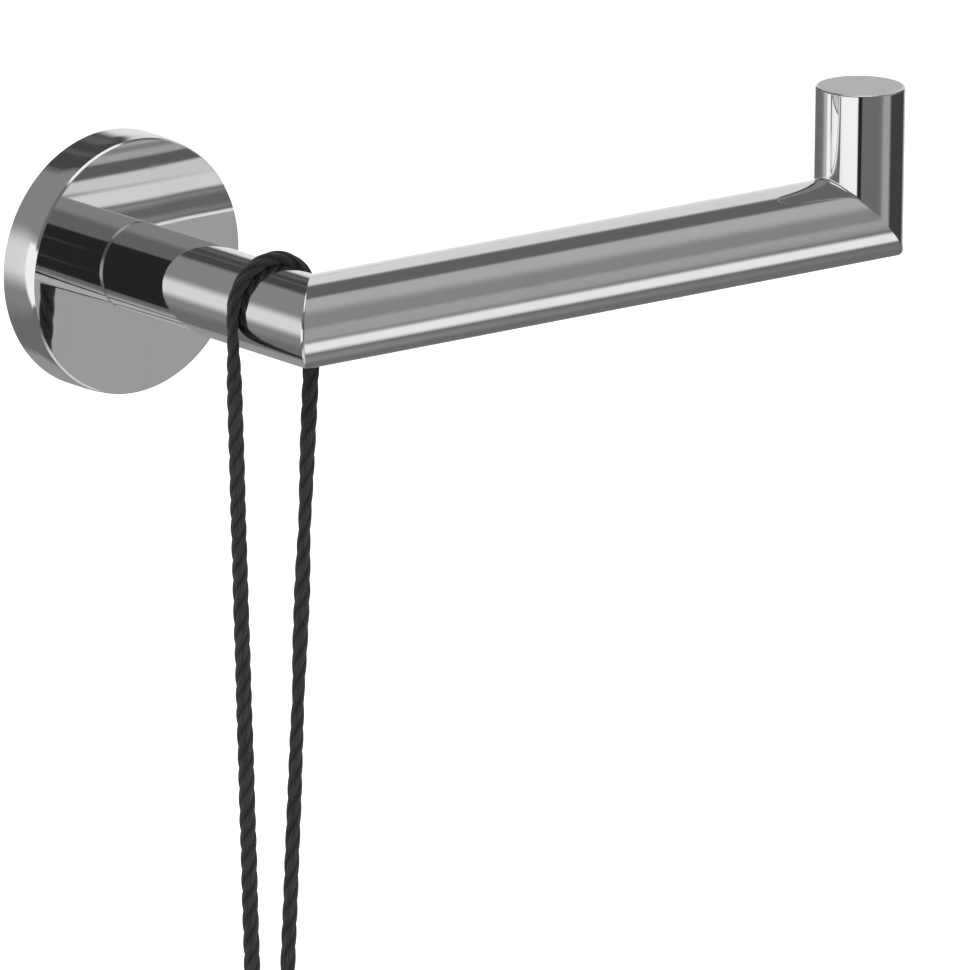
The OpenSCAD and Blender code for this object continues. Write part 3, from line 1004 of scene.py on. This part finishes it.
def cord_fibre():
    """Laid cord. Yarns lie nearly parallel to the cord: a yarn's number is the whole part of
    YARNS (strand + lay share of the length), and its height is a half sine across it.
    Fibres are noise drawn out along the yarn. Below the knot the ends have melted."""
    material, tree, shader = new_material(
        "cord_fibre", Specular_IOR_Level=0.35, Sheen_Weight=0.12, Sheen_Roughness=0.45,
    )
    across, along, _ = split(tree, put(tree, "ShaderNodeUVMap", uv_map="along").outputs[0])
    strand = maths(tree, "FLOOR", across)
    lay = product(tree, along, STRANDS * TURNED_BACK * MM / LAY_LEFT)
    share = maths(tree, "FRACT", across)
    # Painted shade: the tone darkens from each strand's crest towards the grooves between strands
    edge = maths(tree, "MINIMUM", share, maths(tree, "SUBTRACT", 1, share))
    groove_painted_shade = remap(tree, edge, 0.0, 0.36, GROOVE_PAINTED_SHADE, 1)
    phase = total(tree, product(tree, total(tree, across, lay), YARNS), product(tree, strand, 0.37))
    ridge = maths(tree, "SINE", product(tree, maths(tree, "FRACT", phase), math.pi))
    number = put(tree, "ShaderNodeTexWhiteNoise", {
        "W": total(tree, maths(tree, "FLOOR", phase), product(tree, strand, 57)),
    }, noise_dimensions="1D").outputs["Value"]
    fibre_place = put(tree, "ShaderNodeCombineXYZ", {
        0: product(tree, phase, 3.5), 1: product(tree, along, 0.45)}).outputs[0]
    fibre = noise(tree, fibre_place, 1.0, 4.0, Roughness=0.65)
    place = object_place(tree)
    up = split(tree, place)[2]
    worn = use(tree, HANDLING, Place=place, Size=0.02)
    melted = remap(tree, up, SEAL_TOP, SEAL_TOP - 0.7 * MM, 0, 1)
    fluff = maths(tree, "SUBTRACT", 1, melted)
    # Painted shade: the cord's tone falls on the arch over the post, from ROUND_BELOW up to
    # FLAT_ABOVE and above
    painted_arch_shade = remap(tree, up, ROUND_BELOW, FLAT_ABOVE, 1, ARCH_PAINTED_SHADE)
    height = total(tree, product(tree, ridge, 0.6), product(tree, fibre, 0.7))
    # The tone is lighter on each yarn's crest and darker between yarns, as painted shade; the
    # yarns' numbers, the fibres and the smears vary it at random
    tone = total(
        tree, product(tree, ridge, 0.25), product(tree, number, 0.25),
        remap(tree, fibre, 0.35, 0.75, 0, 0.5), product(tree, worn["Smear"], 0.12),
    )
    tone = product(tree, tone, painted_arch_shade, fluff, groove_painted_shade)
    feed(
        tree, shader,
        Base_Color=blend_colours(tree, tone, (0.0095, 0.0088, 0.0092), (0.070, 0.0645, 0.0655)),
        Roughness=remap(tree, melted, 0, 1, 0.82, 0.3),
        Normal=bump(tree, product(tree, height, fluff), 0.00014),
    )
    return material


def rubber():
    """Moulded rubber: fine pits from the mould and a light bloom on top."""
    material, tree, shader = new_material("moulded_rubber", Specular_IOR_Level=0.4)
    place = object_place(tree)
    pits = noise(tree, place, 4000.0, 3.0)
    worn = use(tree, HANDLING, Place=place, Size=0.006)
    feed(
        tree, shader,
        Base_Color=blend_colours(tree, worn["Smear"], (0.022, 0.022, 0.022), (0.05, 0.049, 0.047)),
        Roughness=remap(tree, pits, 0.3, 0.7, 0.5, 0.75),
        Normal=bump(tree, pits, 0.00003),
    )
    return material


dress(chromed.values(), chrome())
dress([chromed["tip_cap"]], turned_chrome())
dress([chromed["arm_post"]], chrome("post_chrome", CHAMFER_DEPTHS))
dress([cord_loop, knot_turns, sealed_tails], cord_fibre())
dress([rubber_bush], rubber())
zinc = machined("zinc_plated_steel", (0.52, 0.53, 0.55), (0.68, 0.69, 0.70), 0.00012, (0.22, 0.42))
blackened = machined("fastener_steel", (0.38, 0.38, 0.39), (0.56, 0.56, 0.57), 0.00008, (0.2, 0.36))
brass = machined("turned_brass", (0.70, 0.54, 0.28), (0.85, 0.69, 0.39), 0.0001, (0.18, 0.34))
for node, material in {
    "wall_bracket": zinc, "arm_washer": zinc, "grub_screw": blackened,
    "arm_screw": blackened, "locating_pin": blackened, "post_insert": brass,
}.items():
    dress([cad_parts[node]], material)


# Studio

CARD_ANGLES = ("Azimuth", "Elevation", "Half Width", "Half Height", "Softness")


def card_group():
    """Mask of a soft-edged card in the studio, by direction: 1 where the direction is within
    the half width and half height of the card's azimuth and elevation, in radians."""
    tree, given = new_group(
        "studio_card", {"Direction": "Vector", **dict.fromkeys(CARD_ANGLES, "Float")},
        {"Mask": "Float"},
    )
    x, y, z = split(tree, given["Direction"])
    c, s = (maths(tree, kind, given["Azimuth"]) for kind in ("COSINE", "SINE"))
    ahead = total(tree, product(tree, x, c), product(tree, y, s))
    aside = maths(tree, "SUBTRACT", product(tree, y, c), product(tree, x, s))
    rise = maths(tree, "SUBTRACT", maths(tree, "ARCSINE", z), given["Elevation"])
    masks = [
        remap(tree, maths(tree, "ABSOLUTE", off), total(tree, given[half], given["Softness"]),
              maths(tree, "SUBTRACT", given[half], given["Softness"]), 0, 1)
        for off, half in (
            (maths(tree, "ARCTAN2", aside, ahead), "Half Width"), (rise, "Half Height"))
    ]
    put(tree, "NodeGroupOutput", {"Mask": product(tree, *masks)})
    return tree


# Studio as polished metal sees it: azimuth from +X towards +Y, elevation, half width, half
# height and softness in degrees, then brightness. A later card lies over an earlier one.
STUDIO_BASE = 0.16
CARDS = [
    # floor, and the lit floor straight below
    (0, -60, 181, 61, 5, 0.16),
    (0, -85, 181, 28, 9, 0.70),
    # lit floor behind and to the right, and in front
    (66, -34, 20, 13, 5, 0.31),
    (-72, -42, 27, 15, 8, 0.48),
    # grey wall in front, to the right, and its lower part
    (-92, 28, 20, 24, 8, 0.15),
    (-52, 16, 24, 30, 9, 0.26),
    (-45, -13, 24, 13, 5, 0.37),
    (-30, 38, 15, 15, 6, 0.44),
    (-36, -38, 12, 9, 5, 0.90),
    # unlit room beside the camera
    (-131, 0, 6, 25, 2, 0.022),
    (-121, -27, 9, 11, 2, 0.022),
    (-121, 27, 9, 11, 2, 0.022),
    # grey wall behind, to the left
    (122, 28, 24, 24, 2.5, 0.25),
    (124, -22, 14, 8, 6, 0.24),
    # long strip light, and the white card beside it
    (150, -1, 26, 13, 7, 0.75),
    (180.5, -9, 44, 20, 2, 1.0),
    # lit wall and softbox behind, to the right
    (44, 2, 23, 17, 5, 0.80),
    (36, 30, 15, 16, 3, 0.72),
    # dark ceiling between the softboxes, with a seam of light
    (73, 44, 21, 21, 2.5, 0.065),
    (60, 30, 4, 5, 3, 0.12),
    (75, 40, 2.5, 9, 1.5, 0.10),
    (4, 50, 22, 7, 6, 0.13),
    # dark end of the room, to the right
    (-15, -14, 31, 13, 5, 0.055),
    # overhead softbox
    (0, 82, 181, 17, 5, 1.0),
]
# What matt surfaces and the camera see of the world, and the tint that metal sees
AMBIENT, BACKDROP = 0.55, 1.0
METAL_TINT = (1, 0.995, 0.98, 1)
# The floor's half size, its distance below the foot, and its glow towards the camera
FLOOR_HALF, FLOOR_DROP, FLOOR_GLOW = 40.0, 0.11, 0.62
# Lamps: name, place, diameter and power. All aim at the same point
LAMP_AIM = np.array([0.05, -0.05, -0.08])
LAMPS = [
    ("key", (-1.2, -1.2, 1.5), 1.2, 22),
    ("fill", (1.6, -1.0, 0.6), 1.6, 10),
    ("back", (0.3, 1.4, 1.2), 1.2, 8),
]


def studio_world():
    """Matt surfaces are lit by an even white, metal sees the cards, the camera sees white."""
    world = bpy.data.worlds.new("studio")
    bpy.context.scene.world = world
    world.use_nodes = True
    tree = world.node_tree
    tree.nodes.clear()
    direction = put(tree, "ShaderNodeTexCoord").outputs["Generated"]
    card = card_group()
    tone = STUDIO_BASE
    for *degrees, brightness in CARDS:
        angles = dict(zip(CARD_ANGLES, np.radians(degrees).tolist()))
        mask = use(tree, card, Direction=direction, **angles)[0]
        tone = put(
            tree, "ShaderNodeMix", {0: mask, 2: tone, 3: brightness}, data_type="FLOAT",
        ).outputs[0]
    plain, shown, mirrored = (
        put(tree, "ShaderNodeBackground", {"Color": colour, "Strength": strength}).outputs[0]
        for colour, strength in (
            ((1, 1, 1, 1), AMBIENT), ((1, 1, 1, 1), BACKDROP), (METAL_TINT, tone))
    )
    ray = put(tree, "ShaderNodeLightPath").outputs
    glossy = put(tree, "ShaderNodeMixShader", {0: ray["Is Glossy Ray"], 1: plain, 2: mirrored})
    final = put(tree, "ShaderNodeMixShader", {
        0: ray["Is Camera Ray"], 1: glossy.outputs[0], 2: shown})
    put(tree, "ShaderNodeOutputWorld", {"Surface": final.outputs[0]})


def studio_floor():
    """A wide pale floor below the object, seen as white, with the object's soft shadow.
    From below it isn't there, so the underside can be looked at."""
    corners = np.array([(-1, -1), (1, -1), (1, 1), (-1, 1)]) * FLOOR_HALF
    points = np.column_stack([corners, np.full(4, low("foot")[2] - FLOOR_DROP)])
    floor = new_piece("floor", points, np.array([[0, 1, 2, 3]]))
    floor.visible_glossy = False
    material, tree, shader = new_material(
        "pale_floor", Base_Color=(0.8, 0.8, 0.8, 1), Roughness=0.9, Specular_IOR_Level=0.0,
    )
    ray = put(tree, "ShaderNodeLightPath").outputs
    glow = put(tree, "ShaderNodeEmission", {
        "Strength": product(tree, ray["Is Camera Ray"], FLOOR_GLOW)})
    both = put(tree, "ShaderNodeAddShader", {0: shader.outputs[0], 1: glow.outputs[0]})
    under = put(tree, "ShaderNodeBsdfTransparent")
    side = put(tree, "ShaderNodeNewGeometry").outputs["Backfacing"]
    final = put(tree, "ShaderNodeMixShader", {0: side, 1: both.outputs[0], 2: under.outputs[0]})
    tree.links.new(final.outputs[0], tree.nodes["Material Output"].inputs["Surface"])
    dress([floor], material)


def lamp(name, place, size, power):
    data = bpy.data.lights.new(name, "AREA")
    data.shape, data.size, data.energy = "DISK", size, power
    light = bpy.data.objects.new(name, data)
    bpy.context.scene.collection.objects.link(light)
    back = place - LAMP_AIM
    back /= np.linalg.norm(back)
    right = np.cross(Z, back)
    right /= np.linalg.norm(right)
    stand(light, right, np.cross(back, right), back, place)
    light.visible_camera = False
    light.visible_glossy = False


studio_world()
studio_floor()
for values in LAMPS:
    lamp(*values)
bpy.context.scene.view_settings.view_transform = "Standard"
